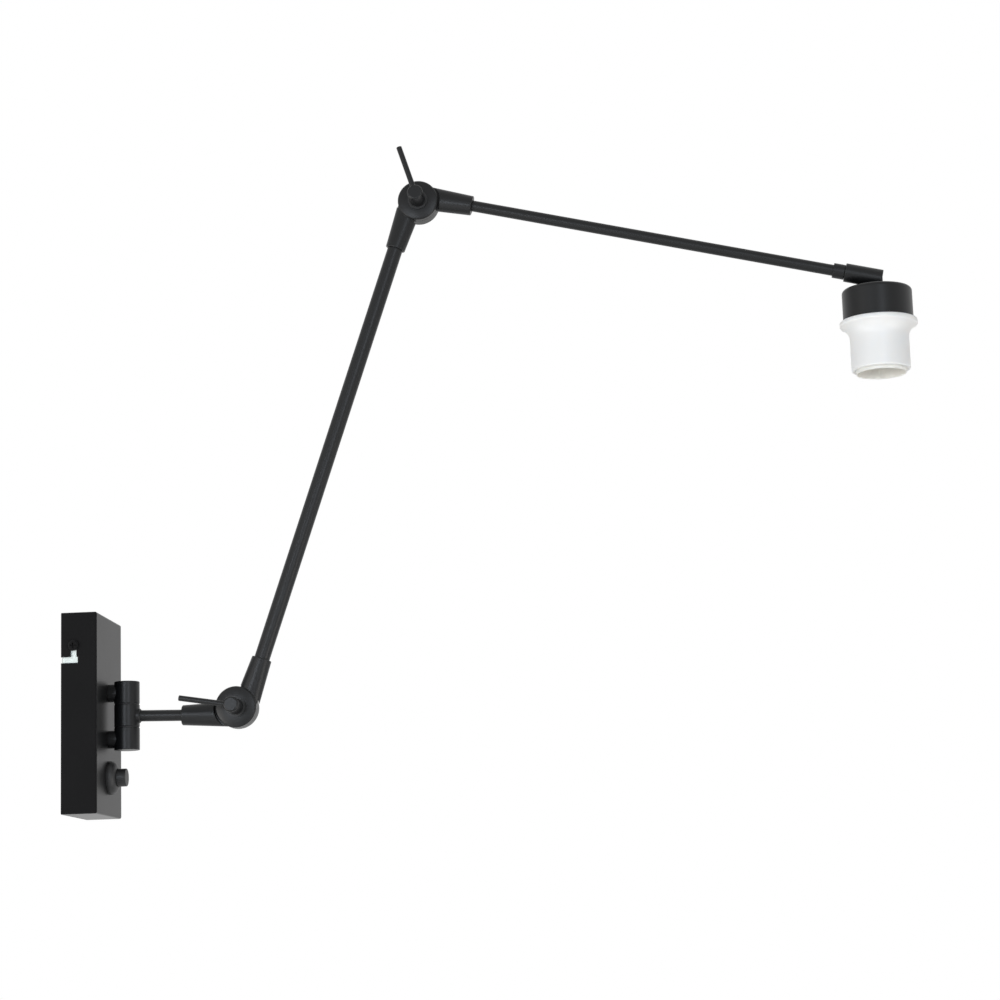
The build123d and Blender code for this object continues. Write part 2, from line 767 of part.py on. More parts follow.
with BuildPart() as lower_arm_cable:
    seat = along_stem(shoulder_front, front_stem_offset, cable_end)
    add_rod(seat, cable_diameter, lower_arm_span - 2 * cable_end)
save(lower_arm_cable, "lower_arm_cable")

tube_tip = upper_arm_length + collar_socket - air
with BuildPart() as upper_arm_tube:
    seat = along_stem(elbow_rear, rear_stem_offset, tube_from_pivot)
    add_ring(seat, thin_tube_diameter, thin_bore, tube_tip - tube_from_pivot)
save(upper_arm_tube, "upper_arm_tube")

nipple_start = upper_arm_length + collar_length - nipple_root
with BuildPart() as upper_arm_cable:
    seat = along_stem(elbow_rear, rear_stem_offset, cable_end)
    add_rod(seat, cable_diameter, nipple_start - air - cable_end)
save(upper_arm_cable, "upper_arm_cable")

# End swivel: the barrel turns on a nipple, and a grub screw in a groove keeps it there
collar_seat = along_stem(elbow_rear, rear_stem_offset, upper_arm_length)
barrel_seat = along_stem(elbow_rear, rear_stem_offset, upper_arm_length + collar_length + rub)
with BuildPart() as swivel_collar:
    add_rod(collar_seat, collar_diameter, collar_length)
    collar_rims = swivel_collar.edges().filter_by(GeomType.CIRCLE)
    chamfer(collar_rims, collar_edge)
    add_rod(collar_seat, thin_tube_diameter + 2 * slip, collar_socket, Mode.SUBTRACT)
    add_rod(collar_seat, nipple_diameter + 2 * slip, collar_length, Mode.SUBTRACT)
save(swivel_collar, "swivel_collar")

groove_start = groove_place - groove_width / 2
with BuildPart() as swivel_nipple:
    add_rod(along_stem(elbow_rear, rear_stem_offset, nipple_start), thin_bore - 2 * slip, nipple_root)
    shoulder = collar_seat.offset(collar_socket)
    add_rod(shoulder, nipple_diameter, collar_length - collar_socket + nipple_engagement)
    with BuildSketch(barrel_seat.offset(groove_start)):
        Circle(nipple_diameter)
        Circle(nipple_diameter / 2 - groove_depth, mode=Mode.SUBTRACT)
    extrude(amount=groove_width, mode=Mode.SUBTRACT)
    add_rod(
        along_stem(elbow_rear, rear_stem_offset, nipple_start),
        nipple_bore,
        nipple_root + nipple_engagement,
        Mode.SUBTRACT,
    )
save(swivel_nipple, "swivel_nipple")

grub_centre = barrel_seat.offset(groove_place).origin
grub_seat = Plane(grub_centre, z_dir=away_from_viewer)
fork_start = swivel_length - fork_depth
with BuildPart() as swivel_barrel:
    add_rod(barrel_seat, swivel_diameter, swivel_length)
    barrel_rims = swivel_barrel.edges().filter_by(GeomType.CIRCLE)
    fillet(barrel_rims, swivel_edge)
    add_rod(barrel_seat, nipple_diameter + 2 * slip, nipple_engagement + air, Mode.SUBTRACT)
    add_rod(barrel_seat, nipple_bore, fork_start + air, Mode.SUBTRACT)
    with BuildSketch(barrel_seat.offset(swivel_length)):
        with Locations(((swivel_diameter - fork_roof) / 2, 0)):
            Rectangle(swivel_diameter + fork_roof, fork_gap)
    extrude(amount=-fork_depth, mode=Mode.SUBTRACT)
    pin_centre = barrel_seat.offset(swivel_length - pin_from_end).origin
    pin_seat = Plane(pin_centre, z_dir=away_from_viewer).offset(pin_cover - swivel_diameter / 2)
    add_rod(pin_seat, pin_diameter + 2 * slip, swivel_diameter, Mode.SUBTRACT)
    add_rod(grub_seat, grub_diameter + 2 * slip, swivel_diameter, Mode.SUBTRACT)
save(swivel_barrel, "swivel_barrel")

with BuildPart() as swivel_grub_screw:
    dog_end = nipple_diameter / 2 - groove_depth + air
    dog_root = nipple_diameter / 2 + air
    grub_top = swivel_diameter / 2 - air
    add_rod(grub_seat.offset(dog_end), grub_dog_diameter, dog_root - dog_end)
    add_rod(grub_seat.offset(dog_root), grub_diameter, grub_top - dog_root)
    with BuildSketch(grub_seat.offset(grub_top)):
        RegularPolygon(grub_diameter / 4, 6, major_radius=False)
    extrude(amount=-(grub_top - dog_root) / 2, mode=Mode.SUBTRACT)
save(swivel_grub_screw, "swivel_grub_screw")

with BuildPart() as tilt_pin:
    add_rod(pin_seat.offset(air), pin_diameter, swivel_diameter - pin_cover - 3 * air)
save(tilt_pin, "tilt_pin")

# Lamp head: it hangs plumb below the tilt pin
head_x = pin_centre.X
cap_top = pin_centre.Z - tongue_drop
cap_bottom = cap_top - cap_height
shell_bottom = cap_bottom - shell_height
holder_mouth = shell_bottom - holder_drop
head_axis = Axis((head_x, 0, 0), (0, 0, 1))
head_section = Plane((head_x, 0, 0), x_dir=(1, 0, 0), z_dir=towards_viewer)


def head_level(height):
    """A level plane on the axis of the lamp head."""
    return Plane((head_x, 0, height))


with BuildPart() as tilt_tongue:
    with BuildSketch(Plane(pin_centre, x_dir=(1, 0, 0), z_dir=towards_viewer)):
        Circle(tongue_width / 2)
        with Locations((0, -tongue_drop / 2)):
            Rectangle(tongue_width, tongue_drop)
        Circle(pin_diameter / 2 + slip, mode=Mode.SUBTRACT)
    extrude(amount=tongue_thickness / 2, both=True)
    add_rod(head_level(cap_top), tongue_flange_diameter, tongue_flange_thickness)
    add_rod(head_level(cap_top), stud_diameter, -stud_length)
    add_rod(head_level(cap_top - stud_length), stud_bore, stud_length, Mode.SUBTRACT)
save(tilt_tongue, "tilt_tongue")

with BuildPart() as socket_cap:
    add_rod(head_level(cap_bottom), cap_diameter, cap_height)
    fillet(socket_cap.faces().sort_by(Axis.Z)[-1].edges(), cap_edge)
    offset(amount=-cap_wall, openings=socket_cap.faces().sort_by(Axis.Z)[0])
    add_rod(head_level(cap_bottom), stud_diameter + 2 * slip, cap_height, Mode.SUBTRACT)
save(socket_cap, "socket_cap")

with BuildPart() as head_nut:
    nut_top = head_level(cap_top - cap_wall)
    add_hex(nut_top, head_nut_flats, -head_nut_height)
    add_rod(nut_top, stud_diameter + 2 * slip, -head_nut_height, Mode.SUBTRACT)
save(head_nut, "head_nut")

# Shell: a moulded sleeve that flares out to the flange under the cap
body_r = shell_body_diameter / 2
flange_r = shell_flange_diameter / 2
holder_r = holder_diameter / 2
collar_r = cap_diameter / 2 - cap_wall - air
collar_top = cap_bottom + shell_collar_height
shell_floor = cap_bottom - shell_flange_thickness
flare_turn = acos(1 - (flange_r - body_r) / (shell_flare_radius + shell_rim_edge))
rim_low_centre = cap_bottom - shell_rim_height
flare_foot = rim_low_centre - (shell_flare_radius + shell_rim_edge) * sin(flare_turn)
with BuildPart() as socket_shell:
    with BuildSketch(head_section):
        with BuildLine():
            Line((holder_r + air, shell_bottom), (body_r - shell_mouth_edge, shell_bottom))
            mouth_round = CenterArc(
                (body_r - shell_mouth_edge, shell_bottom + shell_mouth_edge), shell_mouth_edge, -90, 90
            )
            Line(mouth_round @ 1, (body_r, flare_foot))
            flare_centre = (body_r + shell_flare_radius, flare_foot)
            CenterArc(flare_centre, shell_flare_radius, 180, -degrees(flare_turn))
            rim_centre = (flange_r - shell_rim_edge, rim_low_centre)
            rim_low = CenterArc(rim_centre, shell_rim_edge, -degrees(flare_turn), degrees(flare_turn))
            Line(rim_low @ 1, (flange_r, cap_bottom - shell_rim_edge))
            rim_top = CenterArc(
                (flange_r - shell_rim_edge, cap_bottom - shell_rim_edge), shell_rim_edge, 0, 90
            )
            Line(rim_top @ 1, (collar_r, cap_bottom))
            Polyline(
                (collar_r, cap_bottom),
                (collar_r, collar_top),
                (collar_r - shell_collar_wall, collar_top),
                (collar_r - shell_collar_wall, shell_floor),
                (holder_r + air, shell_floor),
                (holder_r + air, shell_bottom),
            )
        make_face()
    revolve(axis=head_axis)
save(socket_shell, "socket_shell")

# Lampholder: a moulded sleeve with a plain skirt at the mouth
seat_r = holder_seat_diameter / 2
skirt_r = holder_r - holder_wall
skirt_top = holder_mouth + holder_skirt_depth
holder_top = cap_bottom + holder_roof_height
carrier_top = holder_top - holder_roof
with BuildPart() as lampholder:
    with BuildSketch(head_section):
        with BuildLine():
            Polyline(
                (skirt_r, holder_mouth),
                (holder_r, holder_mouth),
                (holder_r, carrier_top),
                (seat_r, carrier_top),
                (seat_r, skirt_top),
                (skirt_r, skirt_top),
                close=True,
            )
        make_face()
    revolve(axis=head_axis)
    mouth_edges = lampholder.faces().sort_by(Axis.Z)[0].edges()
    fillet(mouth_edges, holder_edge)
    with BuildSketch(head_level(holder_mouth + 2 * holder_edge)):
        with Locations((0, skirt_r), (0, -skirt_r)):
            Rectangle(rib_width, 2 * rib_height)
    extrude(amount=holder_skirt_depth - 2 * holder_edge)
save(lampholder, "lampholder")

# Lampholder dome: it closes the sleeve, and its neck screws onto the stud
with BuildPart() as lampholder_dome:
    add_rod(head_level(carrier_top), holder_diameter, holder_roof)
    fillet(lampholder_dome.faces().sort_by(Axis.Z)[-1].edges(), holder_edge)
    add_rod(head_level(holder_top), holder_neck_diameter, holder_neck_height)
    dome_height = holder_roof + holder_neck_height
    add_rod(head_level(carrier_top), stud_diameter + 2 * slip, dome_height, Mode.SUBTRACT)
save(lampholder_dome, "lampholder_dome")

carrier_face = carrier_top - carrier_thickness
with BuildPart() as contact_carrier:
    add_rod(head_level(carrier_face), holder_seat_diameter - 2 * air, carrier_thickness)
    add_rod(head_level(carrier_face), rivet_diameter + 2 * slip, carrier_thickness, Mode.SUBTRACT)
save(contact_carrier, "contact_carrier")

# Screw shell: a rolled brass sleeve with a plain neck and a wall that waves at the thread pitch
thread_r = shell_thread_diameter / 2
thread_top = carrier_face - shell_neck_height
thread_foot = thread_top - shell_thread_turns * shell_thread_pitch
with BuildPart() as screw_shell:
    with BuildSketch(head_section):
        with BuildLine():
            for wave_r in (thread_r, thread_r + shell_thread_wall):
                neck_r = wave_r + shell_thread_depth
                Polyline(
                    (neck_r, carrier_face),
                    (neck_r, thread_top + shell_thread_pitch / 4),
                    (wave_r, thread_top),
                )
                for turn in range(shell_thread_turns):
                    start = thread_top - turn * shell_thread_pitch
                    crest = start - shell_thread_pitch / 4
                    valley = start - shell_thread_pitch / 2
                    ThreePointArc((wave_r, start), (wave_r + shell_thread_depth, crest), (wave_r, valley))
                    Line((wave_r, valley), (wave_r, start - shell_thread_pitch))
            Line((neck_r - shell_thread_wall, carrier_face), (neck_r, carrier_face))
            Line((thread_r, thread_foot), (thread_r + shell_thread_wall, thread_foot))
        make_face()
    revolve(axis=head_axis)
save(screw_shell, "screw_shell")

# Centre contact: a sprung brass leaf riveted to the carrier
with BuildPart() as centre_contact:
    with BuildSketch(Plane((head_x, 0, 0), x_dir=(1, 0, 0), z_dir=towards_viewer)):
        with BuildLine():
            leaf_low = carrier_face - contact_thickness
            Polyline(
                (-rivet_diameter, carrier_face),
                (rivet_diameter, carrier_face),
                (contact_reach - rivet_diameter, carrier_face - contact_lift),
                (contact_reach - 2 * rivet_diameter, leaf_low - contact_lift),
                (rivet_diameter / 2, leaf_low),
                (-rivet_diameter, leaf_low),
                close=True,
            )
        make_face()
    extrude(amount=contact_width / 2, both=True)
    add_rod(head_level(carrier_face), rivet_diameter, carrier_thickness)
save(centre_contact, "centre_contact")

# Leads from the hollow stud to the contact carrier
with BuildPart() as head_leads:
    with BuildSketch(head_level(carrier_top)):
        with Locations((0, -lead_pitch / 2), (0, lead_pitch / 2)):
            Circle(lead_diameter / 2)
    extrude(amount=cap_top - carrier_top - stud_length / 4)
save(head_leads, "head_leads")
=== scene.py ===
# %% [markdown]
# # A jointed wall lamp
# The CAD model already has the true shapes, so this script only gives them their finishes, their light
# and the view of the photo. Nearly everything on this lamp is black, so what the eye reads is not colour
# but gloss: how much of the white studio each face mirrors, and where it shows the lamps.

# %% Load the model
import json
import math

import bpy
from mathutils import Matrix, Vector


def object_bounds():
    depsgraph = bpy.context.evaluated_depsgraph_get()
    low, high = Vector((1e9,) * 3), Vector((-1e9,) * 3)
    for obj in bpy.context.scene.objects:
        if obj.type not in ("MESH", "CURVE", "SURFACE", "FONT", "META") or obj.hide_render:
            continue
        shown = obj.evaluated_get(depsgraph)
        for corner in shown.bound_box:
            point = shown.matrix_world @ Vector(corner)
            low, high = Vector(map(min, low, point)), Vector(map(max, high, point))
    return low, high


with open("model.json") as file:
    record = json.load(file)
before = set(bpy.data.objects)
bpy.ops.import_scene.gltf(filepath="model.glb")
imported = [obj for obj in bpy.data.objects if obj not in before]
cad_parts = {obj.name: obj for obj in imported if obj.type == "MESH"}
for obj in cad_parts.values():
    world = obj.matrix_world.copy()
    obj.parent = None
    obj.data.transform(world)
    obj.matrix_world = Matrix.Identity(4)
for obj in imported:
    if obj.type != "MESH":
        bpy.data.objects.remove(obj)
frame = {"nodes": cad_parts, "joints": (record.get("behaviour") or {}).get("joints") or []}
cad_low, cad_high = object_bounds()
cad_size = [round((b - a) * 1000) for a, b in zip(cad_low, cad_high)]
print("nodes:", len(frame["nodes"]), "size in mm:", cad_size)

# %% [markdown]
# ## Small helpers
# Colours are written as the hex values a picture editor shows. Blender's shaders want linear light, so one
# function converts them. Another adds a shader node, sets it up and links it, so that a material below
# reads as a list of what feeds what. It finds a socket by its name, or by its number, as n0 or n1, where a
# node has several sockets of one name. The last one hands a finish to the CAD pieces that wear it.

# %% Helpers
MM = 0.001
dressed = set()


def linear(hex_colour):
    """The linear RGBA of an sRGB hex colour."""
    parts = [int(hex_colour[i : i + 2], 16) / 255 for i in (1, 3, 5)]
    return [c / 12.92 if c <= 0.04045 else ((c + 0.055) / 1.055) ** 2.4 for c in parts] + [1.0]


def put(tree, kind, settings=None, **inputs):
    """Adds a node, sets its settings, and links or sets the inputs it is given."""
    made = tree.nodes.new(kind)
    for key, value in (settings or {}).items():
        setattr(made, key, value)
    for key, value in inputs.items():
        numbered = key[0] == "n" and key[1:].isdigit()
        socket = made.inputs[int(key[1:]) if numbered else key.replace("_", " ")]
        if isinstance(value, bpy.types.NodeSocket):
            tree.links.new(value, socket)
        else:
            socket.default_value = value
    return made


def new_finish(name):
    """A material with an empty shader tree, and that tree."""
    finish = bpy.data.materials.new(name)
    finish.use_nodes = True
    finish.node_tree.nodes.clear()
    return finish, finish.node_tree


def wear(finish, *pieces):
    """Gives a finish to CAD pieces."""
    for piece in pieces:
        mesh = frame["nodes"][piece].data
        mesh.materials.clear()
        mesh.materials.append(finish)
    dressed.update(pieces)
    print(finish.name, "on", len(pieces), "pieces")


print("mid grey #808080 in linear light:", round(linear("#808080")[0], 3))

# %% [markdown]
# ## Black powder coat
# All the metal on the outside is powder coated: dry paint is sprayed on and baked. Arms, knobs and cap have
# a satin coat that wipes clean. It is nearly black, and its skin has a faint waviness about 2 mm across, the
# orange peel of baked powder. A photo of such a skin could be laid on, but a noise texture has no seams and
# its scale is a real size, so the peel is a bump from noise. A second, slower noise moves the roughness a
# little, because no coat is equally smooth all over. A bevel node rounds the shading of sharp edges, as
# thick paint does, and so edges catch light. The IOR of such a resin is about 1.5, and 1.34 was matched to
# the dark tones of the photo.

# %% Satin coat on arms, knobs and cap
SATIN_BLACK = "#0f1011"
SATIN_ROUGHNESS = (0.35, 0.40)
SATIN_PEEL = 0.02
COAT_IOR = 1.34
PEEL_WIDTH = 2.0 * MM
PEEL_HEIGHT = 0.1 * MM
DRIFT_WIDTH = 30 * MM


def powder_coat(name, colour, roughness, peel, edge_radius):
    """A baked coat, its shader tree, and the nodes that a later step builds on."""
    coat, tree = new_finish(name)
    place = put(tree, "ShaderNodeTexCoord").outputs["Object"]
    edges = put(tree, "ShaderNodeBevel", {"samples": 8}, Radius=edge_radius)
    waves = put(tree, "ShaderNodeTexNoise", Vector=place, Scale=1 / PEEL_WIDTH, Detail=2.0, Roughness=0.5)
    skin = put(
        tree,
        "ShaderNodeBump",
        Strength=peel,
        Distance=PEEL_HEIGHT,
        Height=waves.outputs["Fac"],
        Normal=edges.outputs["Normal"],
    )
    drift = put(tree, "ShaderNodeTexNoise", Vector=place, Scale=1 / DRIFT_WIDTH, Detail=3.0)
    sleek, dull = roughness
    gloss = put(tree, "ShaderNodeMapRange", Value=drift.outputs["Fac"], To_Min=sleek, To_Max=dull)
    shader = put(
        tree,
        "ShaderNodeBsdfPrincipled",
        Base_Color=linear(colour),
        Roughness=gloss.outputs["Result"],
        IOR=COAT_IOR,
        Normal=skin.outputs["Normal"],
    )
    put(tree, "ShaderNodeOutputMaterial", Surface=shader.outputs["BSDF"])
    return coat, tree, {"place": place, "edges": edges, "skin": skin, "gloss": gloss, "shader": shader}


satin, _, _ = powder_coat("satin_powder_coat", SATIN_BLACK, SATIN_ROUGHNESS, SATIN_PEEL, 0.35 * MM)
wear(
    satin,
    "upper_knuckle", "lower_knuckle", "centre_knuckle",
    "short_arm_tube", "lower_arm_tube", "upper_arm_tube",
    "shoulder_knob", "elbow_knob", "shoulder_lever", "elbow_lever",
    "swivel_collar", "swivel_barrel", "tilt_pin", "tilt_tongue", "socket_cap",
)

# %% [markdown]
# ## Matt coat on the box
# The pressed steel box has a dead matt coat. One high roughness would give that, but then the front, which
# the photo shows at a slant, would stay too dark, and in the photo it is grey. A matt skin seen along its
# face turns sleek, because its grains hide behind one another. So a Layer Weight node lowers the roughness at
# such glances: the side stays black, and the front mirrors the white studio.

# %% Matt coat
# How edge-on a face is seen, from 0 to 1: where its skin starts to turn sleek and where it is sleekest.
GLANCE_STARTS = 0.2
GLANCE_FULL = 0.85
# The share of its roughness that is left there.
GLANCE_SHARE = 0.35

matt, tree, coat = powder_coat("matt_powder_coat", "#070708", (0.94, 1.0), 0.05, 1.2 * MM)
slant = put(tree, "ShaderNodeLayerWeight", Blend=0.5)
share = put(
    tree,
    "ShaderNodeMapRange",
    Value=slant.outputs["Facing"],
    From_Min=GLANCE_STARTS, From_Max=GLANCE_FULL, To_Min=1.0, To_Max=GLANCE_SHARE,
)
sleeker = put(
    tree,
    "ShaderNodeMath",
    {"operation": "MULTIPLY"},
    n0=coat["gloss"].outputs["Result"],
    n1=share.outputs["Result"],
)
tree.links.new(sleeker.outputs["Value"], coat["shader"].inputs["Roughness"])
wear(matt, "wall_box", "side_screws")

# %% [markdown]
# ## Coat on the castings
# The four elbow halves wear the satin coat too, but their discs are cast, and a cast face is rounder towards
# its rim than a turned one. The CAD discs have a low crown. Their mesh belongs to the CAD model and stays as
# it is, so one more bump makes the crown look rounder. It falls off with the square of the distance from
# the pivot, and the joints in the frame say where the pivots are.

# %% Satin coat on the elbow castings
DISC_RADIUS = 15.85 * MM
DOME_HEIGHT = 0.9 * MM

castings, tree, coat = powder_coat(
    "satin_coat_on_castings", SATIN_BLACK, SATIN_ROUGHNESS, SATIN_PEEL, 0.5 * MM
)
reach = []
for joint in frame["joints"]:
    if joint["name"] in ("shoulder", "elbow"):
        x, _, z = joint["pos_m"]
        ray = put(
            tree,
            "ShaderNodeVectorMath",
            {"operation": "MULTIPLY_ADD"},
            n0=coat["place"], n1=(1, 0, 1), n2=(-x, 0, -z),
        )
        length = put(tree, "ShaderNodeVectorMath", {"operation": "LENGTH"}, n0=ray.outputs["Vector"])
        reach.append(length.outputs["Value"])
nearer = put(tree, "ShaderNodeMath", {"operation": "MINIMUM"}, n0=reach[0], n1=reach[1])
way_out = put(tree, "ShaderNodeMapRange", Value=nearer.outputs["Value"], From_Max=DISC_RADIUS)
fall = put(tree, "ShaderNodeMath", {"operation": "POWER"}, n0=way_out.outputs["Result"], n1=2.0)
domed = put(
    tree,
    "ShaderNodeBump",
    {"invert": True},
    Strength=1.0,
    Distance=DOME_HEIGHT,
    Height=fall.outputs["Value"],
    Normal=coat["edges"].outputs["Normal"],
)
tree.links.new(domed.outputs["Normal"], coat["skin"].inputs["Normal"])
wear(castings, "shoulder_rear_half", "shoulder_front_half", "elbow_front_half", "elbow_rear_half")

# %% [markdown]
# ## Black moulded plastic
# The switch, the plugs and the washers are injection moulded. This plastic is duller than the satin coat,
# and its grain comes from the spark-eroded mould: fine, even dots about half a millimetre across. Cells of
# a Voronoi texture look like such dots, where noise would look like waves. They are drawn a little coarser,
# at 0.8 mm, so that they survive at picture size.

# %% Moulded black plastic
MOULD_DOT = 0.8 * MM

plastic, tree = new_finish("moulded_black_plastic")
place = put(tree, "ShaderNodeTexCoord").outputs["Object"]
edges = put(tree, "ShaderNodeBevel", {"samples": 4}, Radius=0.3 * MM)
dots = put(tree, "ShaderNodeTexVoronoi", {"feature": "SMOOTH_F1"}, Vector=place, Scale=1 / MOULD_DOT)
skin = put(
    tree,
    "ShaderNodeBump",
    Strength=0.08,
    Distance=0.05 * MM,
    Height=dots.outputs["Distance"],
    Normal=edges.outputs["Normal"],
)
shader = put(
    tree,
    "ShaderNodeBsdfPrincipled",
    Base_Color=linear("#101011"),
    Roughness=0.5,
    IOR=1.49,
    Normal=skin.outputs["Normal"],
)
put(tree, "ShaderNodeOutputMaterial", Surface=shader.outputs["BSDF"])
wear(
    plastic,
    "switch_bezel", "switch_button", "switch_body", "shoulder_rear_plug", "elbow_rear_plug",
    "hinge_washers", "shoulder_friction_washer", "elbow_friction_washer",
    "shoulder_thrust_washer", "elbow_thrust_washer",
)

# %% [markdown]
# ## White and cream mouldings
# The shell round the lamp socket is white thermoplastic, and the socket inside it a warmer, heat-proof one.
# Light goes a few millimetres into such plastic and comes out softened, so its shadows look full. A plain
# white surface would look like paper, so most of the light here goes through subsurface scattering. The
# mould's grain is finer than a millimetre and is drawn 1.5 mm wide, so that it can show. A slow cloud takes
# up to 1.5 percent off the white, because no moulding is perfectly even.

# %% White and cream plastic
SCATTER_DEPTH = 3.0 * MM
MOULD_GRAIN = 1.5 * MM
CLOUD_WIDTH = 25 * MM

for name, colour, roughness, pieces in (
    ("white_thermoplastic", "#f4f4f2", 0.38, ("socket_shell",)),
    (
        "cream_heatproof_plastic", "#efeee6", 0.45,
        ("lampholder", "lampholder_dome", "contact_carrier", "terminal_block"),
    ),
):
    moulding, tree = new_finish(name)
    place = put(tree, "ShaderNodeTexCoord").outputs["Object"]
    grain = put(tree, "ShaderNodeTexNoise", Vector=place, Scale=1 / MOULD_GRAIN, Detail=2.0)
    skin = put(tree, "ShaderNodeBump", Strength=0.04, Distance=0.05 * MM, Height=grain.outputs["Fac"])
    cloud = put(tree, "ShaderNodeTexNoise", Vector=place, Scale=1 / CLOUD_WIDTH, Detail=2.0)
    depth = put(tree, "ShaderNodeMapRange", Value=cloud.outputs["Fac"], To_Min=0.985, To_Max=1.0)
    tint = put(tree, "ShaderNodeHueSaturation", Color=linear(colour), Value=depth.outputs["Result"])
    shader = put(
        tree,
        "ShaderNodeBsdfPrincipled",
        Base_Color=tint.outputs["Color"],
        Roughness=roughness,
        IOR=1.5,
        Subsurface_Weight=0.8,
        Subsurface_Radius=(1.0, 0.95, 0.9),
        Subsurface_Scale=SCATTER_DEPTH,
        Normal=skin.outputs["Normal"],
    )
    put(tree, "ShaderNodeOutputMaterial", Surface=shader.outputs["BSDF"])
    wear(moulding, *pieces)

# %% [markdown]
# ## Plated and bare metals
# Bracket, nuts and bolts are zinc plated: pale grey, with a cloudy pattern where the crystals of the plating
# differ. Contacts are plain brass strip. A metal's colour is in its reflection, so metallic is 1 and the IOR
# is left alone. The cloud could be painted as colour, but plating differs more in gloss, so the cloud moves
# the roughness.

# %% Zinc plate and brass
for name, colour, sleek, dull, cloud_width, pieces in (
    (
        "zinc_plated_steel", "#b6bcba", 0.55, 0.68, 6 * MM,
        (
            "wall_bracket", "lock_washers", "hinge_nuts", "terminal_screws", "terminal_fixing_screw",
            "earth_screw", "earth_washer", "shoulder_bolt", "elbow_bolt",
            "swivel_nipple", "swivel_grub_screw", "head_nut",
        ),
    ),
    (
        "brass_strip", "#d2a85c", 0.22, 0.36, 4 * MM,
        ("terminal_inserts", "switch_tabs", "screw_shell", "centre_contact"),
    ),
):
    metal, tree = new_finish(name)
    place = put(tree, "ShaderNodeTexCoord").outputs["Object"]
    cloud = put(tree, "ShaderNodeTexNoise", Vector=place, Scale=1 / cloud_width, Detail=4.0)
    gloss = put(tree, "ShaderNodeMapRange", Value=cloud.outputs["Fac"], To_Min=sleek, To_Max=dull)
    shader = put(
        tree,
        "ShaderNodeBsdfPrincipled",
        Base_Color=linear(colour),
        Metallic=1.0,
        Roughness=gloss.outputs["Result"],
    )
    put(tree, "ShaderNodeOutputMaterial", Surface=shader.outputs["BSDF"])
    wear(metal, *pieces)

# %% [markdown]
# ## Cable sheath
# The leads are soft PVC from an extruder, dull and very slightly uneven. They hardly show, so a bump from
# noise about 3 mm wide is enough, and no ribs are modelled.

# %% PVC sheath
UNEVEN_WIDTH = 3 * MM

sheath, tree = new_finish("pvc_cable_sheath")
place = put(tree, "ShaderNodeTexCoord").outputs["Object"]
uneven = put(tree, "ShaderNodeTexNoise", Vector=place, Scale=1 / UNEVEN_WIDTH, Detail=1.0)
skin = put(tree, "ShaderNodeBump", Strength=0.1, Distance=0.05 * MM, Height=uneven.outputs["Fac"])
shader = put(
    tree,
    "ShaderNodeBsdfPrincipled",
    Base_Color=linear("#1b1b1c"),
    Roughness=0.6,
    IOR=1.53,
    Normal=skin.outputs["Normal"],
)
put(tree, "ShaderNodeOutputMaterial", Surface=shader.outputs["BSDF"])
wear(
    sheath,
    "switch_leads", "arm_cable_in_box", "short_arm_cable", "lower_arm_cable", "upper_arm_cable", "head_leads",
)
print("pieces without a finish:", sorted(set(frame["nodes"]) - dressed))

# %% [markdown]
# ## The studio
# The photo is a cut-out: pure white all round. So the world is plain white wherever it is seen, by the
# camera, in a mirror or through glass. A white room could be modelled, but its walls would stand in the way
# of other views. As a light the world is weaker: full in a cone behind the lamp, like a white sheet there,
# and about a quarter elsewhere, so that the lamps can shape the white shell and it does not clip.

# %% World
# The cosine of the angle from straight behind: where the sheet's light ends and where it is full.
SHEET_EDGE = 0.7
SHEET_FULL = 0.98
ROOM_LEVEL = 0.24
WHITE = (1.0, 1.0, 1.0, 1.0)


def sees_background(tree):
    """1 for the rays that show the background: to the camera, in a mirror or through glass."""
    rays = put(tree, "ShaderNodeLightPath")
    shown = rays.outputs["Is Camera Ray"]
    for kind in ("Is Glossy Ray", "Is Transmission Ray"):
        either = put(tree, "ShaderNodeMath", {"operation": "MAXIMUM"}, n0=shown, n1=rays.outputs[kind])
        shown = either.outputs["Value"]
    return shown


world = bpy.data.worlds.new("studio")
bpy.context.scene.world = world
world.use_nodes = True
tree = world.node_tree
tree.nodes.clear()
direction = put(tree, "ShaderNodeTexCoord").outputs["Generated"]
sides = put(tree, "ShaderNodeSeparateXYZ", Vector=direction)
behind = put(
    tree,
    "ShaderNodeMapRange",
    {"interpolation_type": "SMOOTHSTEP"},
    Value=sides.outputs["Y"],
    From_Min=SHEET_EDGE, From_Max=SHEET_FULL, To_Min=ROOM_LEVEL, To_Max=1.0,
)
shown = sees_background(tree)
level = put(tree, "ShaderNodeMath", {"operation": "MAXIMUM"}, n0=behind.outputs["Result"], n1=shown)
sky = put(tree, "ShaderNodeBackground", Color=WHITE, Strength=level.outputs["Value"])
put(tree, "ShaderNodeOutputWorld", Surface=sky.outputs["Background"])
sheet_angle = round(math.degrees(math.acos(SHEET_EDGE)))
print("light from the world: full behind, falling to", ROOM_LEVEL, "at", sheet_angle, "degrees from there")

# %% [markdown]
# ## Soft boxes
# Each highlight in the photo tells where a lamp stood. Two cool panels stand left and right of the camera,
# and their stripes run down the tubes and the cap. A weak one, high on the left, gives the cap a second
# stripe, and a large, dim one on the right keeps that side from going black. Two cards, low at the sides,
# light the white shell. They hardly show in the tubes, because a tube only mirrors what lies on a cone round
# its axis. A picture of a studio could light all this too, but a lamp can be moved until its stripe fits.

# %% Lights
COOL_LIGHT = "#eaf3ff"
PLAIN_LIGHT = "#ffffff"
WARM_LIGHT = "#fffcf8"


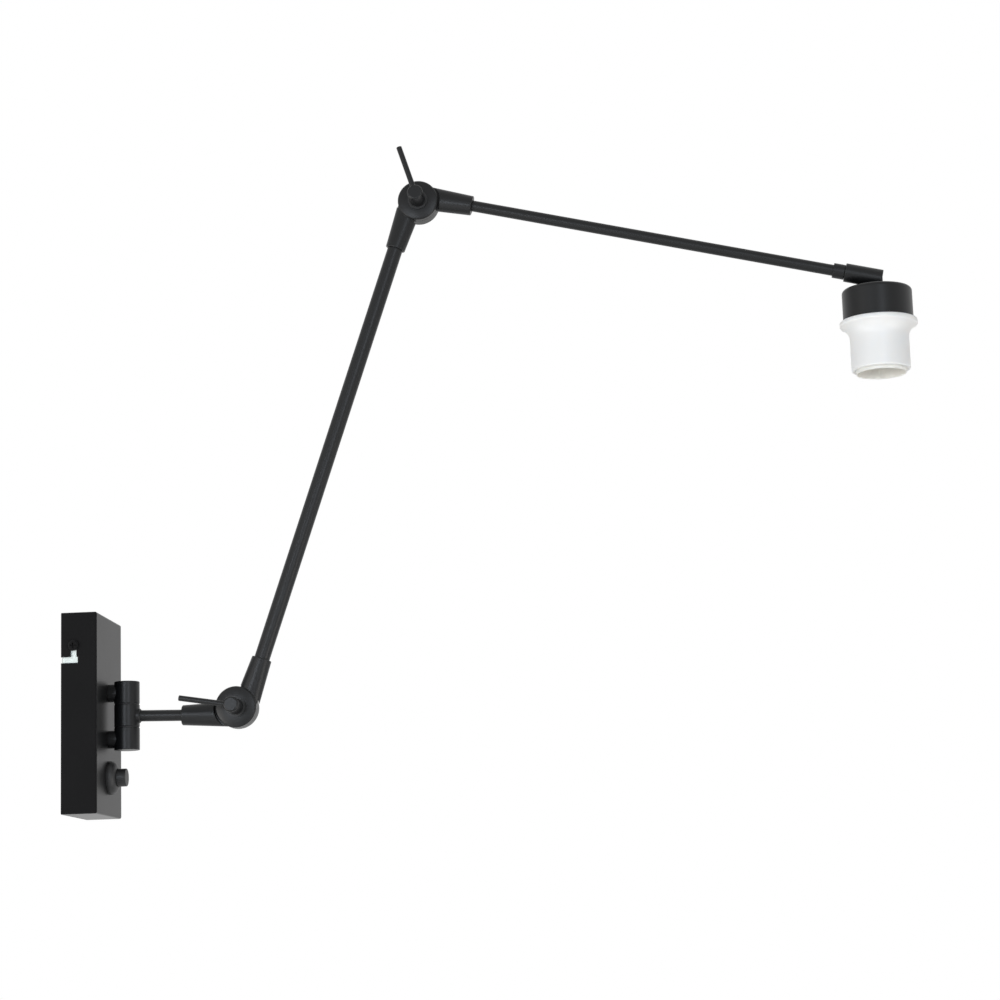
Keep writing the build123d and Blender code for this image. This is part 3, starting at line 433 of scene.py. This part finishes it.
def soft_box(name, place_m, aim_m, size_m, watts, colour):
    """A rectangular area light at a place, turned towards a point."""
    light = bpy.data.lights.new(name, "AREA")
    light.shape = "RECTANGLE"
    light.size, light.size_y = size_m
    light.energy = watts
    light.color = linear(colour)[:3]
    stand = bpy.data.objects.new(name, light)
    bpy.context.collection.objects.link(stand)
    stand.location = place_m
    stand.rotation_euler = (Vector(aim_m) - Vector(place_m)).to_track_quat("-Z", "Y").to_euler()
    print(name, watts, "W")


arms = (0.25, 0.0, 0.1)
head = (0.63, 0.0, 0.22)
soft_box("key_panel", (1.0, -1.95, 0.28), arms, (0.4, 0.9), 7.5, COOL_LIGHT)
soft_box("low_panel", (-0.3, -1.9, 0.08), arms, (0.35, 0.5), 7.6, COOL_LIGHT)
soft_box("left_panel", (-1.4, -1.5, 0.9), arms, (0.8, 0.9), 1.8, PLAIN_LIGHT)
soft_box("right_panel", (2.3, 0.1, 0.2), arms, (1.8, 1.8), 1.6, PLAIN_LIGHT)
soft_box("left_card", (-0.95, -1.1, -0.35), head, (0.8, 0.8), 14.4, WARM_LIGHT)
soft_box("right_card", (1.75, -0.8, -0.75), head, (0.8, 0.8), 9.9, WARM_LIGHT)

# %% [markdown]
# ## The floor
# The photo shows no floor, so a sheet of pale paper lies a metre below, out of its view. The other views look
# down on it: there it is seen a little lifted towards white, and it keeps the lamp's shadow. Towards its rim
# the lift grows to full white, so that no edge shows. A larger floor would only carry that edge to the
# horizon. Paper fibres are too fine to show, so they are drawn as clouds a centimetre wide.

# %% Floor
FLOOR_SIZE = 4.0
FLOOR_PLACE = (0.4, 0.0, -1.0)
FIBRE_WIDTH = 10 * MM
PAPER_LIFT = 0.62
FADE_STARTS = 0.6

bpy.ops.mesh.primitive_plane_add(size=FLOOR_SIZE, location=FLOOR_PLACE)
floor = bpy.context.object
floor.name = "studio_floor"
paper, tree = new_finish("pale_paper_floor")
# With no vector given, the noise runs from 0 to 1 across the floor.
fibre = put(tree, "ShaderNodeTexNoise", Scale=FLOOR_SIZE / FIBRE_WIDTH, Detail=2.0)
tone = put(tree, "ShaderNodeMapRange", Value=fibre.outputs["Fac"], To_Min=0.78, To_Max=0.84)
place = put(tree, "ShaderNodeTexCoord").outputs["Object"]
away = put(tree, "ShaderNodeVectorMath", {"operation": "LENGTH"}, n0=place)
fade = put(
    tree,
    "ShaderNodeMapRange",
    {"interpolation_type": "SMOOTHSTEP"},
    Value=away.outputs["Value"],
    From_Min=FADE_STARTS, From_Max=FLOOR_SIZE / 2, To_Min=PAPER_LIFT, To_Max=1.0,
)
lift = put(
    tree,
    "ShaderNodeMath",
    {"operation": "MULTIPLY"},
    n0=sees_background(tree),
    n1=fade.outputs["Result"],
)
shader = put(
    tree,
    "ShaderNodeBsdfPrincipled",
    Base_Color=tone.outputs["Result"],
    Roughness=0.9,
    Emission_Color=WHITE,
    Emission_Strength=lift.outputs["Value"],
)
put(tree, "ShaderNodeOutputMaterial", Surface=shader.outputs["BSDF"])
floor.data.materials.append(paper)
print("floor:", FLOOR_SIZE, "m square, at", FLOOR_PLACE[2], "m")

# %% [markdown]
# ## The view
# The camera was found by fitting the lamp's known shape to the photo: a long lens, set lower than the lamp
# and tilted up by ten degrees, so that the mouth of the socket and the underside of the box show. It could
# be aimed with a Track To constraint, but that keeps the horizon level, and the photo is turned a little. So
# its three directions are worked out from the angles and set as a matrix.

# %% Camera
CAMERA_PLACE = (0.46211, -1.87594, -0.23782)
LENS_MM = 88.877
SENSOR_MM = 36

pitch, roll, yaw = (math.radians(angle) for angle in (10.352, -1.758, 3.897))
forward = Vector((-math.sin(yaw) * math.cos(pitch), math.cos(yaw) * math.cos(pitch), math.sin(pitch)))
level_right = Vector((math.cos(yaw), math.sin(yaw), 0))
level_up = level_right.cross(forward)
right = level_right * math.cos(roll) + level_up * math.sin(roll)
up = level_up * math.cos(roll) - level_right * math.sin(roll)
lens = bpy.data.cameras.new("photo_camera")
lens.sensor_width = SENSOR_MM
lens.lens = LENS_MM
camera = bpy.data.objects.new("photo_camera", lens)
bpy.context.collection.objects.link(camera)
turn = Matrix((right, up, -forward)).transposed().to_4x4()
camera.matrix_world = Matrix.Translation(CAMERA_PLACE) @ turn
bpy.context.scene.camera = camera
bpy.context.scene.view_settings.view_transform = "Standard"
print("camera:", LENS_MM, "mm lens,", round(-CAMERA_PLACE[1], 2), "m in front of the lamp")
